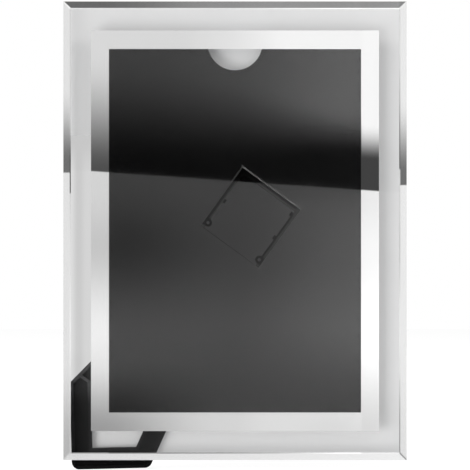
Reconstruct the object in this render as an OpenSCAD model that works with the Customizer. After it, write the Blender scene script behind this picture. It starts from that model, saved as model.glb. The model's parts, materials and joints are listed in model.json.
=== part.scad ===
/* [Certificate] */
// Width of the sheet that the frame holds
sheet_w = 210; // [150:1:300]
// Height of the sheet
sheet_h = 297; // [210:1:420]
// How far the border covers each edge of the sheet
sheet_lap = 6.5; // [3:0.5:12]
// Play on each side of the sheet in its pocket
sheet_play = 0.5; // [0.2:0.1:1.5]
// Depth of the pocket, which is the thickness of the foam tape
pocket_depth = 1; // [0.5:0.1:2]

/* [Glass] */
// Thickness of the glass
glass_t = 5; // [3:0.5:8]
// Clear strip between the border and the glass's left and right edges
clear_side = 21.5; // [15:0.5:40]
// Clear strip between the border and the glass's top and bottom edges
clear_end = 22.5; // [15:0.5:40]
// Width of the bevel round the front
bevel_w = 5.5; // [2:0.5:10]
// Depth that the bevel takes off the edge
bevel_drop = 1.6; // [0.6:0.1:2.4]

/* [Mirror border] */
// Width of the border at the left and right
border_side = 14; // [12:0.5:30]
// Width of the border at the top and bottom
border_end = 14.5; // [12:0.5:30]
// How far the silvered rim reaches in past the bevel
rim_lap = 0.2; // [0:0.1:1]
// Thickness of the silvering
silver_t = 0.15; // [0.1:0.05:0.4]
// Thickness of the paint that protects the silvering
paint_t = 0.15; // [0.1:0.05:0.4]
// Film between the glass and the silvering
film_t = 0.05; // [0.02:0.01:0.1]

/* [Back panel] */
// Thickness of the back panel
panel_t = 3; // [2:0.5:5]
// How far the panel's edge lies inside the border's outer edge
panel_inset = 2; // [1:0.5:4]
// Radius of the panel's corners
panel_r = 2; // [0.5:0.5:6]
// Radius of the thumb notch
notch_r = 21.5; // [12:0.5:30]
// Height of the thumb notch's centre above the display window
notch_rise = 5; // [0:0.5:6]
// Side of the square window that takes the hinge block
square_w = 56; // [50:1:70]
// Width of the bevel round the square window's front
window_bevel = 1.2; // [0.4:0.1:2.4]
// Depth of the bevel round the square window's front
window_drop = 0.35; // [0.1:0.05:0.8]

/* [Hinge block] */
// Place of the block's middle to the right of the glass's middle
block_x = 12.2; // [-10:0.2:20]
// Place of the block's middle above the glass's middle
block_z = 10.2; // [-20:0.2:25]
// Angle that the hinge line is turned from level
hinge_tilt = 36; // [30:0.5:42]
// Groove between the block's face and the window at the two sides
groove_side = 3.2; // [1:0.1:5]
// Groove between the block's face and the window opposite the hinge
groove_top = 4; // [1:0.1:6]
// Depth of the groove from the panel's front
groove_depth = 1.2; // [1.1:0.1:2.4]
// How far the block's face lies behind the panel's front
face_drop = 0.4; // [0.2:0.1:1]
// Clearance of the block in the window
block_fit = 0.2; // [0.1:0.05:0.5]
// How far the flange reaches past the window behind the panel
flange_lap = 4; // [3:0.5:8]
// Thickness of the flange
flange_t = 2; // [1.5:0.1:3]
// Width of the deep slot beside the window's edge at the left and the top
slot_out = 2; // [1:0.1:2.6]
// Width of the deep slot beside the face at the right
slot_in = 1.4; // [1:0.1:2.4]
// Depth of the slots, wells and notches from the block's face
well_depth = 2; // [0.5:0.1:2.4]
// Width of the round-ended wells at the hinge end
well_d = 6.4; // [4:0.2:7]
// Diameter of the peg in each well
peg_d = 2.6; // [1.5:0.1:3.2]
// Distance of the wells from the hinge line
well_up = 5.4; // [4:0.2:9]
// Length of each notch along the sides of the face
notch_len = 3.4; // [2:0.2:5]
// Depth of each notch into the sides of the face
notch_in = 1.8; // [1:0.1:3]
// Distance of the lower notches from the hinge line
notch_low = 26.5; // [18:0.5:32]
// Distance of the upper notches from the hinge line
notch_high = 49.2; // [40:0.5:50]

/* [Hinge] */
// Diameter of the hinge pin
pin_d = 3; // [2:0.1:4]
// Outer diameter of the knuckles
knuckle_d = 6; // [5.2:0.1:8]
// Radial clearance of the pin in the leg's knuckle
pin_play = 0.06; // [0.02:0.01:0.1]
// Radial clearance of the pin in the block's lugs
lug_play = 0.02; // [0.01:0.01:0.05]
// Width of the leg's knuckle
knuckle_w = 18; // [12:0.5:22]
// Width of each lug on the block
lug_w = 4.5; // [3:0.5:7]
// Gap at each side of the leg's knuckle
side_play = 0.4; // [0.3:0.1:1]
// Gap between the leg's knuckle and the flange
knuckle_gap = 0.3; // [0.3:0.05:1]
// Angle at which the open leg meets its stop
open_angle = 35; // [25:1:45]
// Gap left at the stop with the leg fully open
stop_gap = 0.15; // [0.1:0.05:0.4]
// How far the stop's face lies in front of the hinge axis
stop_front = 1; // [0.5:0.1:1.6]

/* [Leg] */
// Thickness of the leg
leg_t = 5; // [4:0.5:6]
// Width of the leg at the hinge
head_w = 31; // [28:0.5:45]
// Distance from the hinge axis to the head of the leg
head_down = 5.2; // [4.5:0.1:9]
// How far the knuckle stands out at each side of the tongue that carries it
tongue_in = 0.8; // [0.3:0.1:2]
// How far the foot's corner drops below the glass
foot_drop = 8.4; // [2:0.1:14]
// How far the foot's corner lies inside the glass's left edge
foot_inset = 6; // [1:0.1:14]
// Length of the foot along its lower edge
foot_len = 61; // [52:0.2:80]
// Length of the upright edge, from the foot's corner to the shoulder
shoulder_up = 68.4; // [50:0.2:90]
// Distance from the shoulder up to the cross rib
cross_up = 8.2; // [4:0.1:20]
// Width of the two side bars round the leg's window
bar_w = 16.4; // [12:0.5:18]
// Width of the bar along the foot
foot_bar_w = 16.5; // [12:0.5:20]
// Width of the raised rims
rim_w = 2.6; // [1.5:0.1:4]
// Width of the cross rib
cross_w = 2.2; // [1.5:0.1:4]
// Depth of the channels in the bars
channel_depth = 0.8; // [0.3:0.1:1.5]
// Depth of the recess in the leg's body
recess_depth = 2.4; // [1:0.1:3]
// Radius of the foot's corners
foot_r = 6; // [2:0.5:8]
// Radius of the shoulder and of the head's corners
shoulder_r = 2; // [1:0.5:5]

/* [Hidden] */
$fn = 64;

// Overrun of every cut past the face that it leaves
over = 1;

// The display window, the border round it and the glass round that
window_w = sheet_w - 2 * sheet_lap;
window_h = sheet_h - 2 * sheet_lap;
border_w = window_w + 2 * border_side;
border_h = window_h + 2 * border_end;
glass_w = border_w + 2 * clear_side;
glass_h = border_h + 2 * clear_end;
panel_w = border_w - 2 * panel_inset;
panel_h = border_h - 2 * panel_inset;
middle_z = glass_h / 2;
window_top = middle_z + window_h / 2;

// Depths from the glass's front face backwards
silver_y = glass_t + film_t;
paint_y = silver_y + silver_t;
tape_y = paint_y + paint_t;
panel_y = tape_y + pocket_depth;
flange_y = panel_y + panel_t;
face_y = panel_y + face_drop;
groove_y = panel_y + groove_depth;
flange_back = flange_y + flange_t;
axis_y = flange_back + knuckle_gap + knuckle_d / 2;
leg_y = axis_y - leg_t / 2;
depth = axis_y + max(knuckle_d, leg_t) / 2;

// The hinge line: u runs along it, w runs from it up through the block
hinge_x = block_x - square_w / 2 * sin(hinge_tilt);
hinge_z = middle_z + block_z - square_w / 2 * cos(hinge_tilt);
along = [cos(hinge_tilt), -sin(hinge_tilt)];
function hinge_point(u, w) =
    [hinge_x, hinge_z] + u * along + w * [sin(hinge_tilt), cos(hinge_tilt)];
lug_start = knuckle_w / 2 + side_play;
pin_len = 2 * (lug_start + lug_w);

// The stop above the axis turns down onto the flange at the open angle, and its root
// reaches past the axis on both sides
stop_up = (axis_y - flange_back - stop_gap - stop_front * cos(open_angle)) / sin(open_angle);
stop_root = pin_d / 2;

// A line is a point and a direction, with the shape on its left
function unit(v) = v / norm(v);
function left_of(v) = [-v[1], v[0]];
function line(from, to) = [from, unit(to - from)];
function shift(l, d) = [l[0] + d * left_of(l[1]), l[1]];
function cross2(a, b) = a[0] * b[1] - a[1] * b[0];
function meet(l, m) = l[0] + l[1] * cross2(m[0] - l[0], m[1]) / cross2(l[1], m[1]);
function corners(lines) =
    [for (i = [0:len(lines) - 1]) meet(lines[i], lines[(i + 1) % len(lines)])];

// The points of the arc that rounds the corner between two lines
arc_steps = 8;
function outward(l) = atan2(-l[1][0], l[1][1]);
function arc(before, after, r) =
    let (
        middle = meet(shift(before, r), shift(after, r)),
        start = outward(before),
        turn = (outward(after) - start + 360) % 360
    )
    [for (k = [0:arc_steps])
        let (a = start + turn * k / arc_steps)
        middle + r * [cos(a), sin(a)]];

// The foot's two edges point at where the hinge axis meets the glass's own edges,
// so each lies flat on a table beside that edge at any opening of the leg
foot_corner = [-glass_w / 2 + foot_inset, -foot_drop];
axis_at_bottom = [hinge_x + hinge_z / tan(hinge_tilt), 0];
axis_at_left = [-glass_w / 2, hinge_z + (hinge_x + glass_w / 2) * tan(hinge_tilt)];
bottom_line = line(foot_corner, axis_at_bottom);
left_line = [foot_corner, -unit(axis_at_left - foot_corner)];
shoulder = foot_corner - shoulder_up * left_line[1];
foot_end = foot_corner + foot_len * bottom_line[1];
head_left = hinge_point(-head_w / 2, -head_down);
head_right = hinge_point(head_w / 2, -head_down);
right_line = line(foot_end, head_right);
head_line = line(head_right, head_left);
side_line = line(head_left, shoulder);
cross_line = [shoulder - cross_up * side_line[1], along];

leg_points = concat(
    arc(left_line, bottom_line, foot_r),
    arc(bottom_line, right_line, foot_r),
    arc(right_line, head_line, shoulder_r),
    [for (end = [[1, -head_down], [1, 0], [-1, 0], [-1, -head_down]])
        hinge_point(end[0] * (knuckle_w / 2 - tongue_in), end[1])],
    arc(head_line, side_line, shoulder_r),
    arc(side_line, left_line, shoulder_r)
);

// The lowest point of the foot is the part's own zero
low_z = min([for (p = leg_points) p[1]]);

// Moves what is drawn from the glass's lower edge to the part's own origin
module in_frame() {
    translate([0, -depth / 2, -low_z]) children();
}

// Moves what is drawn about the hinge line into the glass's plane
module at_hinge() {
    translate([hinge_x, 0, hinge_z]) rotate([0, hinge_tilt, 0]) children();
}

// Stands a flat outline up as a plate from depth y backwards
module plate(y, t) {
    translate([0, y + t, 0]) rotate([90, 0, 0]) linear_extrude(t) children();
}

// A round bar along the hinge axis
module axis_bar(d, len) {
    translate([0, axis_y, 0]) rotate([0, 90, 0]) cylinder(d = d, h = len, center = true);
}

// One bevelled bar of glass, with its length along z and its front at y = 0
module bevelled_bar(w, len) {
    linear_extrude(len) polygon([
        [-w / 2, bevel_drop],
        [-w / 2 + bevel_w, 0],
        [w / 2 - bevel_w, 0],
        [w / 2, bevel_drop],
        [w / 2, glass_t],
        [-w / 2, glass_t]
    ]);
}

module glass_pane() {
    color("LightCyan", 0.4) in_frame() intersection() {
        bevelled_bar(glass_w, glass_h);
        translate([-glass_w / 2, 0, middle_z]) rotate([0, 90, 0]) bevelled_bar(glass_h, glass_w);
    }
}

// A flat ring about the glass's middle, from depth y backwards
module ring(y, t, outer, inner) {
    plate(y, t) translate([0, middle_z]) difference() {
        square(outer, center = true);
        square(inner, center = true);
    }
}

// The border lies between its outer edge and the display window
module border_ring(y, t) {
    ring(y, t, [border_w, border_h], [window_w, window_h]);
}

// The rim lies behind the bevel
module rim_ring(y, t) {
    clear = 2 * (bevel_w + rim_lap);
    ring(y, t, [glass_w, glass_h], [glass_w - clear, glass_h - clear]);
}

module mirror_border() {
    color("Silver") in_frame() border_ring(silver_y, silver_t);
}

module border_paint() {
    color("SlateGray") in_frame() border_ring(paint_y, paint_t);
}

module mirror_rim() {
    color("Silver") in_frame() rim_ring(silver_y, silver_t);
}

module rim_paint() {
    color("SlateGray") in_frame() rim_ring(paint_y, paint_t);
}

// The tapes fill the space between the panel's edge and the sheet
tape_side_w = (panel_w - sheet_w) / 2 - sheet_play;
tape_bottom_h = (panel_h - sheet_h) / 2 - sheet_play;
tape_bottom_z = middle_z - panel_h / 2;

module side_tape(side) {
    x = side * (panel_w - tape_side_w) / 2;
    color("DimGray") in_frame() plate(tape_y, pocket_depth)
        translate([x, middle_z]) square([tape_side_w, panel_h], center = true);
}

module tape_left() {
    side_tape(-1);
}

module tape_right() {
    side_tape(1);
}

module tape_bottom() {
    w = panel_w - 2 * tape_side_w;
    color("DimGray") in_frame() plate(tape_y, pocket_depth)
        translate([-w / 2, tape_bottom_z]) square([w, tape_bottom_h]);
}

// A rectangle with round corners, centred on the origin
module round_rect(w, h, r) {
    square([w, h - 2 * r], center = true);
    square([w - 2 * r, h], center = true);
    for (x = [-1, 1], z = [-1, 1])
        translate([x * (w / 2 - r), z * (h / 2 - r)]) circle(r);
}

// The notch for a thumb, open at the panel's top edge
module thumb_notch() {
    translate([0, window_top + notch_rise]) {
        circle(notch_r);
        translate([-notch_r, 0]) square([2 * notch_r, panel_h / 2]);
    }
}

// The cut that bevels the window's front on the three sides of the groove
module window_bevels() {
    slope = window_bevel / window_drop;
    wide = square_w / 2 + (window_drop + over) * slope;
    narrow = square_w / 2 - window_bevel;
    len = 2 * (wide + over);
    translate([0, panel_y, square_w / 2]) intersection() {
        linear_extrude(len, center = true) polygon([
            [-wide, -over],
            [wide, -over],
            [narrow, 2 * window_drop],
            [-narrow, 2 * window_drop]
        ]);
        rotate([0, 90, 0]) linear_extrude(len, center = true) polygon([
            [-wide, -over],
            [narrow, -over],
            [narrow, 2 * window_drop],
            [-narrow, 2 * window_drop]
        ]);
    }
}

module back_panel() {
    color([0.12, 0.12, 0.12]) in_frame() difference() {
        plate(panel_y, panel_t) difference() {
            translate([0, middle_z]) round_rect(panel_w, panel_h, panel_r);
            thumb_notch();
        }
        at_hinge() plate(panel_y - over, panel_t + 2 * over)
            translate([-square_w / 2, 0]) square(square_w);
        at_hinge() window_bevels();
    }
}

// Half the width of the block's face inside the square window
face_half = square_w / 2 - groove_side;

// The notches and the wells along the sides of the face. Each well runs out to the window
module face_cuts() {
    for (w = [notch_low, notch_high])
        translate([face_half - notch_in / 3, w])
            square([4 / 3 * notch_in, notch_len], center = true);
    translate([face_half, well_up]) {
        circle(d = well_d);
        translate([0, -well_d / 2]) square([groove_side, well_d]);
    }
}

// A lug that carries one end of the pin
module lug(side) {
    x = side * (lug_start + lug_w / 2);
    translate([x, 0, 0]) axis_bar(knuckle_d, lug_w);
    translate([x, (flange_y + axis_y) / 2, 0])
        cube([lug_w, axis_y - flange_y, knuckle_d], center = true);
}

// The slots along the groove. Each ends inside a well or a notch, or runs out to the window
module slots() {
    left = -square_w / 2;
    slot_up = square_w - well_up + over;
    translate([left - over, well_up]) square([over + slot_out, slot_up]);
    translate([left - over, square_w - slot_out])
        square([square_w / 2 + face_half + over, slot_out + over]);
    translate([face_half - notch_in / 9, well_up])
        square([slot_in + notch_in / 9, notch_high - well_up]);
}

module hinge_block() {
    seat = square_w - 2 * block_fit;
    span = square_w + 2 * flange_lap;
    color([0.2, 0.2, 0.2]) in_frame() at_hinge() difference() {
        union() {
            plate(flange_y, flange_t)
                translate([-span / 2, -flange_lap]) square(span);
            difference() {
                union() {
                    plate(groove_y, flange_y - groove_y)
                        translate([-seat / 2, block_fit]) square(seat);
                    plate(face_y, groove_y - face_y)
                        translate([-face_half, block_fit])
                            square([2 * face_half, square_w - groove_top - block_fit]);
                }
                plate(face_y - over, well_depth + over) {
                    slots();
                    face_cuts();
                    mirror([1, 0]) face_cuts();
                }
            }
            for (side = [-1, 1])
                plate(face_y, flange_y - face_y)
                    translate([side * face_half, well_up]) circle(d = peg_d);
            for (side = [-1, 1]) lug(side);
        }
        axis_bar(pin_d + 2 * lug_play, pin_len + 2 * over);
    }
}

module hinge_pin() {
    color("LightSteelBlue") in_frame() at_hinge() axis_bar(pin_d, pin_len);
}

// The window between the bars and the cross rib, drawn out by d on the bars' sides
// and by top towards the rib
module leg_window(d, top) {
    polygon(corners([
        shift(bottom_line, foot_bar_w - d),
        shift(right_line, bar_w - d),
        [shift(cross_line, top)[0], -along],
        shift(left_line, bar_w - d)
    ]));
}

// The shallow channel along the three bars
module leg_channel() {
    difference() {
        polygon(corners([
            shift(bottom_line, rim_w),
            shift(right_line, rim_w),
            [cross_line[0], -along],
            shift(side_line, rim_w),
            shift(left_line, rim_w)
        ]));
        leg_window(rim_w, over);
    }
}

// The recess in the body, between the cross rib and the head
module leg_recess() {
    polygon(corners([
        shift(cross_line, cross_w),
        shift(right_line, rim_w),
        shift(head_line, rim_w),
        shift(side_line, rim_w)
    ]));
}

module leg() {
    color([0.08, 0.08, 0.08]) in_frame() difference() {
        union() {
            difference() {
                plate(leg_y, leg_t) polygon(leg_points);
                plate(leg_y - over, leg_t + 2 * over) leg_window(0, -cross_w);
                plate(leg_y - over, channel_depth + over) leg_channel();
                plate(leg_y - over, recess_depth + over) leg_recess();
            }
            at_hinge() {
                axis_bar(knuckle_d, knuckle_w);
                plate(axis_y - stop_front, stop_front + stop_root)
                    translate([-knuckle_w / 2, -stop_root])
                        square([knuckle_w, stop_up + stop_root]);
            }
        }
        at_hinge() axis_bar(pin_d + 2 * pin_play, knuckle_w + 2 * over);
    }
}

glass_pane();
mirror_border();
border_paint();
mirror_rim();
rim_paint();
tape_left();
tape_right();
tape_bottom();
back_panel();
hinge_block();
hinge_pin();
leg();
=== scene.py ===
import json
import math
import bpy
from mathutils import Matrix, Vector


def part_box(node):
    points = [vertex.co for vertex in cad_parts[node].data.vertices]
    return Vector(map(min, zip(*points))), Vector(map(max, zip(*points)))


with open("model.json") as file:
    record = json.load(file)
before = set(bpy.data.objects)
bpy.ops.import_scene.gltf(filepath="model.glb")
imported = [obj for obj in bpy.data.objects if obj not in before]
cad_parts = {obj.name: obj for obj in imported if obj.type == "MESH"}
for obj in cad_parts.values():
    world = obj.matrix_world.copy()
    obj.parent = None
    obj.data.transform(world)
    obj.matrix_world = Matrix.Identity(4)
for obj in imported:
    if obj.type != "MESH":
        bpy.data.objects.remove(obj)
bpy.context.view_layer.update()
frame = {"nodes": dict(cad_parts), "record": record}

scene = bpy.context.scene
scene.view_settings.view_transform = "Standard"

# The glass's front face and its lower edge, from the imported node
glass_low, glass_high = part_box("glass_pane")
front_y = glass_low.y
glass_bottom = glass_low.z

# The camera looks squarely at the glass from 2 m, at CAM_UP above its lower edge, and the
# photograph shows 366.6 mm across at the glass
CAM_AWAY = 2.0
CAM_UP = 0.1757
PICTURE_W = 0.3666
SENSOR = 36.0


class Net:
    """Builds shader nodes from plain expressions."""

    def __init__(self, tree):
        self.tree = tree
        self.tree.nodes.clear()

    def node(self, kind, inputs=None, **props):
        n = self.tree.nodes.new(kind)
        for name, value in props.items():
            setattr(n, name, value)
        for name, value in (inputs or {}).items():
            self.put(n.inputs[name], value)
        return n

    def put(self, socket, value):
        if isinstance(value, Val):
            value = value.socket
        if isinstance(value, bpy.types.NodeSocket):
            self.tree.links.new(value, socket)
        elif isinstance(value, (tuple, list)) and socket.type == "RGBA" and len(value) == 3:
            socket.default_value = (*value, 1)
        else:
            socket.default_value = value

    def math(self, op, *args, clamp=False):
        n = self.node("ShaderNodeMath", operation=op, use_clamp=clamp)
        for i, a in enumerate(args):
            self.put(n.inputs[i], a)
        return Val(self, n.outputs[0])

    def step(self, x, start, end):
        """0 at start, 1 at end, smooth between them; start may lie above end."""
        way = self.math("SUBTRACT", end, start)
        s = self.math("DIVIDE", self.math("SUBTRACT", x, start), way, clamp=True)
        return s * s * (3 - 2 * s)

    def blend(self, k, a, b):
        """a where k is 0, b where k is 1."""
        return self.math("MULTIPLY_ADD", self.math("SUBTRACT", b, a), k, a)

    def clamp(self, x, low, high):
        return self.math("MINIMUM", self.math("MAXIMUM", x, low), high)

    def link(self, a, b):
        self.tree.links.new(a, b)

    def parts(self, name):
        """The three numbers of a texture coordinate, such as Object."""
        coords = self.node("ShaderNodeTexCoord")
        parts = self.node("ShaderNodeSeparateXYZ", {"Vector": coords.outputs[name]})
        return [Val(self, socket) for socket in parts.outputs]

    def ray(self, name):
        """1 for the rays of a kind that the light path names, and 0 for others."""
        return Val(self, self.node("ShaderNodeLightPath").outputs[name])

    def either(self, a, b):
        return self.math("MAXIMUM", a, b)

    def mix(self, k, first, second):
        """The first shader where k is 0, the second where k is 1."""
        n = self.node("ShaderNodeMixShader", {"Fac": k})
        self.link(first.outputs[0], n.inputs[1])
        self.link(second.outputs[0], n.inputs[2])
        return n


class Val:
    """A number in a node tree."""

    def __init__(self, net, socket):
        self.net, self.socket = net, socket

    def __add__(self, o):
        return self.net.math("ADD", self, o)

    def __radd__(self, o):
        return self.net.math("ADD", o, self)

    def __sub__(self, o):
        return self.net.math("SUBTRACT", self, o)

    def __rsub__(self, o):
        return self.net.math("SUBTRACT", o, self)

    def __mul__(self, o):
        return self.net.math("MULTIPLY", self, o)

    def __rmul__(self, o):
        return self.net.math("MULTIPLY", o, self)


# The world: white for the camera, plain light for matt surfaces, and for mirrors and glass
# the studio in front of the object, with its dark screen
PLAIN_LIGHT = 0.5
FAR_TONE = 0.86
BEHIND_TONE = 0.72
TABLE_TONE = 1.5

# The studio is laid out in slopes, to the right (u) and up (v), as the camera sees it mirrored in
# the glass. The window that shows the panel reaches WINDOW_U to each side and WINDOW_V up and
# down from its middle, the right bevel starts at BEVEL_U, and the screen's sharp lower edge has
# its middle at SCREEN_EDGE_V. HAIR is half the width over which a sharp edge blends.
WINDOW_U = 0.0491
WINDOW_V = 0.0709
WINDOW_MIDDLE_V = 0.0017
BEVEL_U = 0.0641
SCREEN_EDGE_V = 0.0210
HAIR = 0.0002


class Look:
    """A direction into the studio, and how far it lies in each stretch of it, from 0 to 1."""

    def __init__(self, net, x, y, z):
        front = net.math("MAXIMUM", 0 - y, 0.02)
        self.u = net.math("DIVIDE", x, front)
        self.v = net.math("DIVIDE", z, front)
        # What the bevels show, far to either side
        self.wide = net.step(net.math("ABSOLUTE", self.u), 0.09, 0.16)
        # Two slow changes from left to right
        self.side = net.step(self.u, -0.02, 0.05)
        self.right = net.step(self.u, -0.1, 0.1)
        # What the black panel shows, and its left and right
        across = net.step(net.math("ABSOLUTE", self.u), WINDOW_U + HAIR, WINDOW_U - HAIR)
        up = net.math("ABSOLUTE", self.v - WINDOW_MIDDLE_V)
        self.panel = across * net.step(up, WINDOW_V + HAIR, WINDOW_V - HAIR)
        self.panel_left = self.panel * net.step(self.u, 0.0, -0.045)
        self.panel_right = self.panel * net.step(self.u, 0.0, 0.045)
        # What the mirror shows at the panel's right, and what lies beyond that
        beside = net.step(self.u, WINDOW_U + HAIR, WINDOW_U + 3 * HAIR)
        self.mirror_right = beside * net.step(self.u, BEVEL_U + HAIR / 2, BEVEL_U - HAIR / 2)
        self.beyond = net.step(self.u, 0.0642, 0.0655)


def hump(net, x, middle, sharpness):
    """1 at the middle, and less to both sides of it."""
    away = x - middle
    return net.math("EXPONENT", -sharpness * (away * away))


def above_screen(net, look):
    """The studio above the screen, brighter to the right."""
    rightwards = net.math("MAXIMUM", look.u, 0.0)
    darkest = net.blend(look.panel, 0.83, 0.78)
    brightest = net.blend(look.panel, 1.1, 1.3)
    tone = net.clamp(0.93 + 5 * look.u + 4 * rightwards, darkest, brightest)
    tone = tone * (1 - 0.30 * look.beyond)
    tone = net.blend(look.mirror_right, tone, 1.13)
    high_up = net.clamp(0.94 + 1.6 * look.u, 0.84, 1.05)
    tone = net.blend(net.step(look.v, 0.12, 0.18), tone, high_up)
    tone = net.blend(look.wide, tone, 1.0 - 0.08 * look.right)
    return tone * (1 + 0.28 * look.panel_right - 0.13 * look.panel_left)


def dark_screen(net, look, height):
    """The screen, which fades into the studio above it with the height above its lower edge."""
    start = net.blend(look.wide, 0.012 * look.side, 0.004)
    end = net.blend(look.wide, 0.047 - 0.016 * look.side, 0.034)
    end = net.blend(look.mirror_right, end, 0.0262)
    fade = net.step(height, start, end)
    # The black panel shows it fading out later
    fade = net.blend(look.panel, fade, net.math("POWER", fade, 1.55))
    on_panel = net.math("MAXIMUM", 0.046 + 0.6 * look.u, 0.034)
    tone = net.blend(look.panel, 0.079 - 0.28 * look.u, on_panel)
    tone = net.blend(look.wide, tone, 0.17)
    return net.blend(fade, tone, above_screen(net, look))


def below_screen(net, look):
    """The studio below the screen: a brighter patch, and darker downwards and to the sides."""
    u, v = look.u, look.v
    tone = net.clamp(0.79 + 6.5 * net.math("MAXIMUM", u, 0.0), 0.79, 1.2)
    patch = (0.32 - 0.07 * look.side) * hump(net, v, -0.038, 3300)
    dip = 0.15 * hump(net, v, -0.004, 6000) * (1 - look.side)
    rim = 0.11 * look.side * net.step(v, -0.006, 0.016)
    tone = tone * (1 + patch - dip - rim)
    low = net.step(v, -0.050, -0.078)
    at_sides = 0.52 * net.step(u, -0.004, -0.055) + 0.20 * net.step(u, 0.006, 0.045)
    tone = tone * (1 - low * at_sides) * (1 - 0.62 * net.step(v, -0.09, -0.19))
    # The clear strip in front of the folded leg mirrors next to nothing, so the leg stays black
    strip = net.clamp((-0.0544 - u) * 118, 0.0, 1.0) * net.step(u, -0.0562, -0.0567)
    strip = strip * net.step(u, -0.0655, -0.0645)
    strip = strip * net.step(v, -0.044, -0.050) * net.step(v, -0.13, -0.10)
    tone = tone * (1 - 0.88 * strip)
    tone = tone * (1 - 0.25 * look.beyond)
    tone = tone * (1 - 0.07 * look.mirror_right * net.step(v, -0.035, -0.055))
    # The panel's left is darker in its middle and low down, and its right brighter higher up
    left_dark = 0.43 * hump(net, v, -0.003, 2000) + 0.42 * net.step(v, -0.047, -0.072)
    right_light = 0.25 * net.step(v, -0.060, -0.030) * net.step(v, 0.019, 0.010)
    tone = tone * (1 - look.panel_left * left_dark) * (1 + look.panel_right * right_light)
    wide_low = net.step(v, -0.048, -0.085) * (0.10 + 0.28 * look.right)
    return net.blend(look.wide, tone, (1.0 - 0.08 * look.right) * (1 - wide_low))


def bright_table(net, look):
    """A bright table low down at the left, and a faint one at the right."""
    low = net.step(look.v, -0.30, -0.45) * net.step(look.v, -0.85, -0.65)
    across = net.blend(net.step(look.u, 0.12, 0.30), net.step(look.u, -0.12, -0.30), 0.15)
    reach = net.step(net.math("ABSOLUTE", look.u), 0.75, 0.60)
    return TABLE_TONE * (low * across * reach)


def studio(net, x, y, z):
    """How bright the studio is in a direction."""
    look = Look(net, x, y, z)
    edge = net.blend(look.wide, SCREEN_EDGE_V - 0.070 * look.u, 0.0223 + 0.012 * look.u)
    height = look.v - edge
    above = net.step(height, -1.5 * HAIR, 1.5 * HAIR)
    picture = net.blend(above, below_screen(net, look), dark_screen(net, look, height))
    # Away from the object's own reflections the studio is plain
    aside = net.step(net.math("ABSOLUTE", look.u), 0.45, 0.9)
    updown = net.step(net.math("ABSOLUTE", look.v), 0.32, 0.6)
    picture = net.blend(net.math("MAXIMUM", aside, updown), picture, FAR_TONE)
    picture = picture + bright_table(net, look)
    return net.blend(net.step(y, -0.02, 0.02), picture, BEHIND_TONE)


def make_world():
    world = bpy.data.worlds.new("studio")
    scene.world = world
    world.use_nodes = True
    net = Net(world.node_tree)
    mirrored = net.either(net.ray("Is Glossy Ray"), net.ray("Is Transmission Ray"))
    strength = net.blend(mirrored, PLAIN_LIGHT, studio(net, *net.parts("Generated")))
    strength = net.blend(net.ray("Is Camera Ray"), strength, 1.0)
    back = net.node("ShaderNodeBackground", {"Color": (1, 1, 1), "Strength": strength})
    out = net.node("ShaderNodeOutputWorld")
    net.link(back.outputs[0], out.inputs["Surface"])


make_world()


def material(name, surface, **values):
    """A material with the shader that the function surface makes, given these values."""
    mat = bpy.data.materials.new(name)
    mat.use_nodes = True
    net = Net(mat.node_tree)
    out = net.node("ShaderNodeOutputMaterial")
    net.link(surface(net, **values).outputs[0], out.inputs["Surface"])
    return mat


def noise(net, scale, detail=2.0, rough=0.5, stretch=(1, 1, 1)):
    coords = net.node("ShaderNodeTexCoord")
    place = net.node("ShaderNodeMapping", {"Vector": coords.outputs["Object"], "Scale": stretch})
    cloud = net.node("ShaderNodeTexNoise", {
        "Vector": place.outputs[0], "Scale": scale, "Detail": detail, "Roughness": rough})
    return Val(net, cloud.outputs["Fac"])


def bump(net, height, distance, strength=1.0):
    return net.node("ShaderNodeBump", {"Height": height, "Distance": distance,
                                       "Strength": strength}).outputs[0]


def glass(net):
    """Clear glass; lamps and matt light pass it straight."""
    wave = noise(net, 9, 1.0)
    body = net.node("ShaderNodeBsdfPrincipled", {
        "Base Color": (0.989, 0.989, 0.989), "Roughness": 0.0, "IOR": 1.45,
        "Specular Tint": (0.45, 0.45, 0.45),
        "Transmission Weight": 1.0,
        "Normal": bump(net, wave, 0.00002, 0.3)})
    clear = net.node("ShaderNodeBsdfTransparent", {"Color": (0.946, 0.946, 0.946)})
    return net.mix(net.either(net.ray("Is Shadow Ray"), net.ray("Is Diffuse Ray")), body, clear)


def silvering(net):
    """Silver with the faintest smears."""
    smear = noise(net, 14, 3.0, 0.6)
    return net.node("ShaderNodeBsdfPrincipled", {
        "Base Color": (0.843, 0.843, 0.843), "Metallic": 1.0,
        "Roughness": 0.01 * smear})


def backing_paint(net):
    """Matt grey paint between two cloudy tones."""
    grain = noise(net, 900, 3.0, 0.6)
    cloud = noise(net, 25, 3.0, 0.6)
    colour = net.node("ShaderNodeCombineColor", {
        "Red": net.blend(cloud, 0.20, 0.27), "Green": net.blend(cloud, 0.215, 0.285),
        "Blue": net.blend(cloud, 0.235, 0.31)})
    return net.node("ShaderNodeBsdfPrincipled", {
        "Base Color": colour.outputs[0], "Roughness": 0.62,
        "Normal": bump(net, grain, 0.00008, 0.5)})


def foam_tape(net):
    """Black foam with open cells."""
    cells = net.node("ShaderNodeTexVoronoi", {"Scale": 2600.0})
    coords = net.node("ShaderNodeTexCoord")
    net.link(coords.outputs["Object"], cells.inputs["Vector"])
    return net.node("ShaderNodeBsdfPrincipled", {
        "Base Color": (0.018, 0.018, 0.019), "Roughness": 0.85,
        "Normal": bump(net, cells.outputs["Distance"], 0.0002, 0.6)})


# How far behind the foremost face a face still counts as that one, and the polish's roughness
FACE_DEPTH = 0.0005
POLISH = 0.02
# A face looks forwards or backwards if its normal's part along Y is over SQUARE, and not at all
# if it is under SLANTING
SQUARE = 0.93
SLANTING = 0.86


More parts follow.
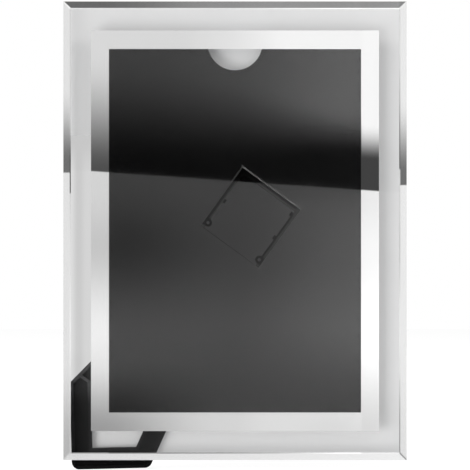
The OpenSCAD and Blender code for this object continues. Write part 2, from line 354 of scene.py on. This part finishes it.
def black_plastic(net, face_y, deep, face, back, rough, shine, grain_size=1400,
                  grain_depth=0.00004, polished=False, recess=None, back_grain=1.0, tones=(),
                  lean=0.0):
    """Black plastic whose foremost face, at the depth face_y, has a tone of its own.

    deep is the tone of what lies deeper, and back that of the faces that look backwards, whose
    grain is back_grain times as deep. A polished foremost face is smooth.
    recess is the depth from which front faces are dull, with less shine before that too.
    The tone heights are heights between which the tone of all but the backward faces
    changes, each with its ratio: painted light and shade, lighter or darker above a height.
    With a recess the last of them changes the shine too, a painted reflection. They count at
    x = 0, and drop by lean to the right.
    """
    fine = noise(net, grain_size, 3.0, 0.6)
    cloud = noise(net, 30, 4.0, 0.65)
    facing = net.parts("Normal")[1]
    across, place, height = net.parts("Object")
    ahead = net.step(facing, -SLANTING, -SQUARE)
    foremost = ahead * net.step(place, face_y + 1.1 * FACE_DEPTH, face_y + 0.9 * FACE_DEPTH)
    behind = net.step(facing, SLANTING, SQUARE)
    painted_factor = 1.0
    # Painted light and shade: above each height the tone steps by its ratio, and with a recess
    # the shine too, a painted reflection
    for start, end, ratio in tones:
        painted_factor = net.blend(net.step(height + lean * across, start, end), 1.0, ratio)
        deep, face = painted_factor * deep, painted_factor * face
    clouded = 0.75 + 0.5 * cloud
    shade = net.blend(foremost, net.blend(behind, deep, back), face) * clouded
    roughness = rough + 0.08 * cloud
    grain = net.blend(behind, 1 / back_grain, 1.0)
    if polished:
        roughness = net.blend(foremost, roughness, POLISH)
        grain = grain * (1 - foremost)
    if recess is not None:
        dull = net.step(place, face_y + recess - 0.0001, face_y + recess)
        stepped = net.blend(ahead * (1 - foremost), shine, net.blend(dull, 0.8 * shine, 0.04))
        shine = net.blend(behind, painted_factor, 1.0) * stepped
        shade = net.blend(ahead, shade, face * clouded)
    colour = net.node("ShaderNodeCombineColor",
                      {"Red": shade, "Green": shade, "Blue": 1.03 * shade})
    return net.node("ShaderNodeBsdfPrincipled", {
        "Base Color": colour.outputs[0], "Roughness": roughness, "Specular IOR Level": shine,
        "Normal": bump(net, fine, grain_depth * back_grain, grain)})


def drawn_steel(net):
    """Steel with fine lines along the wire."""
    drawn = noise(net, 220, 2.0, 0.5, stretch=(0.05, 4, 4))
    return net.node("ShaderNodeBsdfPrincipled", {
        "Base Color": (0.58, 0.58, 0.59), "Metallic": 1.0,
        "Roughness": 0.22 + 0.2 * drawn,
        "Normal": bump(net, drawn, 0.00003, 0.4)})


# The leg's knuckle stands out 0.5 mm in front of its rims
LEG_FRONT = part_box("leg")[0].y + 0.0005

MATERIALS = {
    "glass": material("glass", glass),
    "silvering": material("silvering", silvering),
    "backing_paint": material("backing_paint", backing_paint),
    "foam_tape": material("foam_tape", foam_tape),
    "panel": material(
        "panel", black_plastic, face_y=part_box("back_panel")[0].y, deep=0.012, face=0.0015,
        back=0.012, rough=0.34, shine=0.5, grain_size=700, grain_depth=0.00002, polished=True,
        back_grain=5.0),
    # The block: painted reflection, darker and with less shine high up, where it mirrors the dark
    # screen
    "block": material(
        "block", black_plastic, face_y=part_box("hinge_block")[0].y, deep=0.012, face=0.0015,
        back=0.032, rough=0.38, shine=0.5, polished=True, recess=0.0015,
        tones=[(0.2256, 0.2262, 0.08)], lean=0.07),
    # The leg: painted light and shade, darker at the foot and lighter higher up, as if lit from
    # above
    "moulding": material(
        "moulding", black_plastic, face_y=LEG_FRONT, deep=0.004, face=0.014, back=0.016,
        rough=0.46, shine=0.05, tones=[(0.0088, 0.0080, 0.35), (0.050, 0.0685, 4.6)]),
    "pin": material("pin", drawn_steel),
}
SLOTS = {s["node"]: s["material_slot"] for s in frame["record"]["subparts"]}
OWN = {"hinge_block": "block"}
for name, obj in frame["nodes"].items():
    obj.data.materials.clear()
    obj.data.materials.append(MATERIALS[OWN.get(name, SLOTS[name])])


# The stage: a pale floor, and two sheets behind the object that only glass shows
def plane(name, points):
    mesh = bpy.data.meshes.new(name)
    mesh.from_pydata(points, [], [tuple(range(len(points)))])
    obj = bpy.data.objects.new(name, mesh)
    scene.collection.objects.link(obj)
    return obj


def pale_floor(net):
    """A pale floor that takes shadows, and that mirrors and glass don't see."""
    matt = net.node("ShaderNodeBsdfDiffuse", {"Color": (0.86, 0.86, 0.86)})
    white = net.node("ShaderNodeEmission", {"Color": (1, 1, 1), "Strength": 1.15})
    clear = net.node("ShaderNodeBsdfTransparent")
    seen = net.mix(0.75 * net.ray("Is Camera Ray"), matt, white)
    mirrored = net.either(net.ray("Is Glossy Ray"), net.ray("Is Transmission Ray"))
    return net.mix(mirrored, seen, clear)


# Half the floor's width
FLOOR = 3.0
floor = plane("floor", [(-FLOOR, -FLOOR, 0), (FLOOR, -FLOOR, 0), (FLOOR, FLOOR, 0),
                        (-FLOOR, FLOOR, 0)])
floor.data.materials.append(material("floor", pale_floor))


def behind_glass(net, paper, there):
    """Paper that only rays which came through glass see, where there() is 1 if it is given."""
    x, _, z = net.parts("Object")
    seen = net.ray("Is Transmission Ray")
    if there is not None:
        seen = seen * there(net, x, z)
    return net.mix(seen, net.node("ShaderNodeBsdfTransparent"), paper(net, x, z))


# Places on the near sheet: where its rim starts and is full, from the glass's middle, and the
# gap for the open leg, which reaches further to the right above the foot
RIM_ACROSS = (0.098, 0.112)
RIM_UP = (0.142, 0.156)
GAP_X = -0.060
GAP_FOOT_X = -0.116
GAP_FOOT_TOP = 0.041
GAP_TOP = 0.262


def near_paper(net, x, z):
    """Pale matt paper. Its rim is a darker matt, darkest at the top, with painted light of its
    own there; behind the thumb notch painted light lifts the lamp's shadow.
    """
    across = net.math("ABSOLUTE", x)
    up = net.math("ABSOLUTE", z - (glass_low.z + glass_high.z) / 2)
    rim = net.math("MAXIMUM", net.step(across, *RIM_ACROSS), net.step(up, *RIM_UP))
    cloud = noise(net, 14, 2.0, 0.5)
    top = net.step(z, glass_high.z - 0.036, glass_high.z - 0.026)
    shade = net.blend(rim, 0.68, net.blend(top, 0.52, 0.34)) + 0.04 * cloud
    colour = net.node("ShaderNodeCombineColor", {"Red": shade, "Green": shade, "Blue": shade})
    matt = net.node("ShaderNodeBsdfDiffuse", {"Color": colour.outputs[0]})
    low = net.step(z, glass_low.z + 0.06, glass_low.z + 0.02)
    # Painted light at the rim: brighter to the right and at the top, less at the bottom
    own = 0.22 + 0.3 * x - 0.07 * low + 0.20 * top
    # Painted light behind the thumb notch, more to the left and lower down, lifting the lamp's
    # shadow there
    notch = net.clamp((0.3285 - z) * 80, 0.0, 1.0) * (0.18 - 2 * x)
    light = net.blend(rim, notch, own)
    painted_glow = net.node("ShaderNodeEmission", {"Color": (1, 1, 1), "Strength": light})
    both = net.node("ShaderNodeAddShader")
    net.link(matt.outputs[0], both.inputs[0])
    net.link(painted_glow.outputs[0], both.inputs[1])
    return both


def near_there(net, x, z):
    """Left out at the left, where the open leg may show through the glass."""
    over_foot = net.step(z, GAP_FOOT_TOP - 0.001, GAP_FOOT_TOP + 0.001)
    edge = net.blend(over_foot, GAP_FOOT_X, GAP_X)
    under_top = net.step(z, GAP_TOP + 0.0001, GAP_TOP - 0.0001)
    return 1 - net.step(x - edge, 0.0, -0.0004) * under_top


# The near sheet stands just behind the folded leg. A place on the far one, divided by FAR_SCALE,
# is the place on the glass that the camera sees in front of it.
SHEET_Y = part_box("leg")[1].y + 0.0001
SHEET_OUT = 0.06
FAR_SHEET_Y = 0.13
FAR_SHEET_OUT = 0.25
FAR_SCALE = (CAM_AWAY + FAR_SHEET_Y - front_y) / CAM_AWAY


def far_paper(net, x, z):
    """Painted light: the sheet glows in place of lit paper, with a painted shadow of the frame in
    a band down the left that stops high up, and far to the left it is darker towards the bottom.
    """
    over = x * (1 / FAR_SCALE)
    left_of_band = net.step(over, -0.1225, -0.128)
    right_of_band = net.step(over, -0.1215, -0.1155)
    tone = 0.595 + 0.135 * left_of_band + 0.07 * right_of_band
    tone = net.blend(net.step(z, 0.265, 0.235), 0.588, tone)
    aside = net.blend(net.step(z, 0.06, 0.19), 0.54, 0.72)
    tone = net.blend(net.step(x, -0.15, -0.19), tone, aside)
    return net.node("ShaderNodeEmission", {"Color": (1, 1, 1), "Strength": tone})


def sheet(name, y, out, paper, there=None):
    """A sheet at the depth y that reaches out past the glass on each side."""
    obj = plane(name, [
        (glass_low.x - out, y, glass_low.z - out), (glass_high.x + out, y, glass_low.z - out),
        (glass_high.x + out, y, glass_high.z + out), (glass_low.x - out, y, glass_high.z + out)])
    obj.data.materials.append(material(name, behind_glass, paper=paper, there=there))
    return obj


near_sheet = sheet("near_sheet", SHEET_Y, SHEET_OUT, near_paper, near_there)
sheet("far_sheet", FAR_SHEET_Y, FAR_SHEET_OUT, far_paper)


# Lamps: a large soft one from the left, a weak one from the right behind, and one for the sheet.
# They look at a point near the object's middle.
LAMP_AIM = Vector((0, 0, 0.18))


def lamp(name, azimuth, elevation, distance, side, tone):
    """A square lamp that adds tone to a surface that faces it."""
    a, e = math.radians(azimuth), math.radians(elevation)
    way = Vector((math.sin(a) * math.cos(e), -math.cos(a) * math.cos(e), math.sin(e)))
    data = bpy.data.lights.new(name, "AREA")
    data.shape = "SQUARE"
    data.size = side
    data.energy = tone * math.pi * math.pi * distance * distance
    obj = bpy.data.objects.new(name, data)
    obj.location = LAMP_AIM + way * distance
    obj.rotation_mode = "QUATERNION"
    obj.rotation_quaternion = way.to_track_quat("Z", "Y")
    scene.collection.objects.link(obj)
    return obj


def group(name, obj, state):
    """A light linking collection that has one object, as INCLUDE or EXCLUDE."""
    coll = bpy.data.collections.new(name)
    coll.objects.link(obj)
    coll.collection_objects[0].light_linking.link_state = state
    return coll


key = lamp("key", azimuth=-40, elevation=57, distance=1.8, side=0.9, tone=0.9)
fill = lamp("fill", azimuth=150, elevation=40, distance=2.0, side=1.2, tone=0.4)
sheet_lamp = lamp("sheet_lamp", azimuth=-37, elevation=-14, distance=1.6, side=1.0, tone=0.62)
not_sheet = group("not_sheet", near_sheet, "EXCLUDE")
key.light_linking.receiver_collection = not_sheet
fill.light_linking.receiver_collection = not_sheet
sheet_lamp.light_linking.receiver_collection = group("sheet_only", near_sheet, "INCLUDE")
sheet_lamp.light_linking.blocker_collection = group("not_floor", floor, "EXCLUDE")
sheet_lamp.visible_glossy = False
sheet_lamp.visible_transmission = False

camera = bpy.data.cameras.new("camera")
camera.sensor_width = SENSOR
camera.lens = SENSOR * CAM_AWAY / PICTURE_W
camera.clip_end = 50
cam = bpy.data.objects.new("camera", camera)
cam.location = (0, front_y - CAM_AWAY, glass_bottom + CAM_UP)
cam.rotation_euler = (math.radians(90), 0, 0)
scene.collection.objects.link(cam)
scene.camera = cam
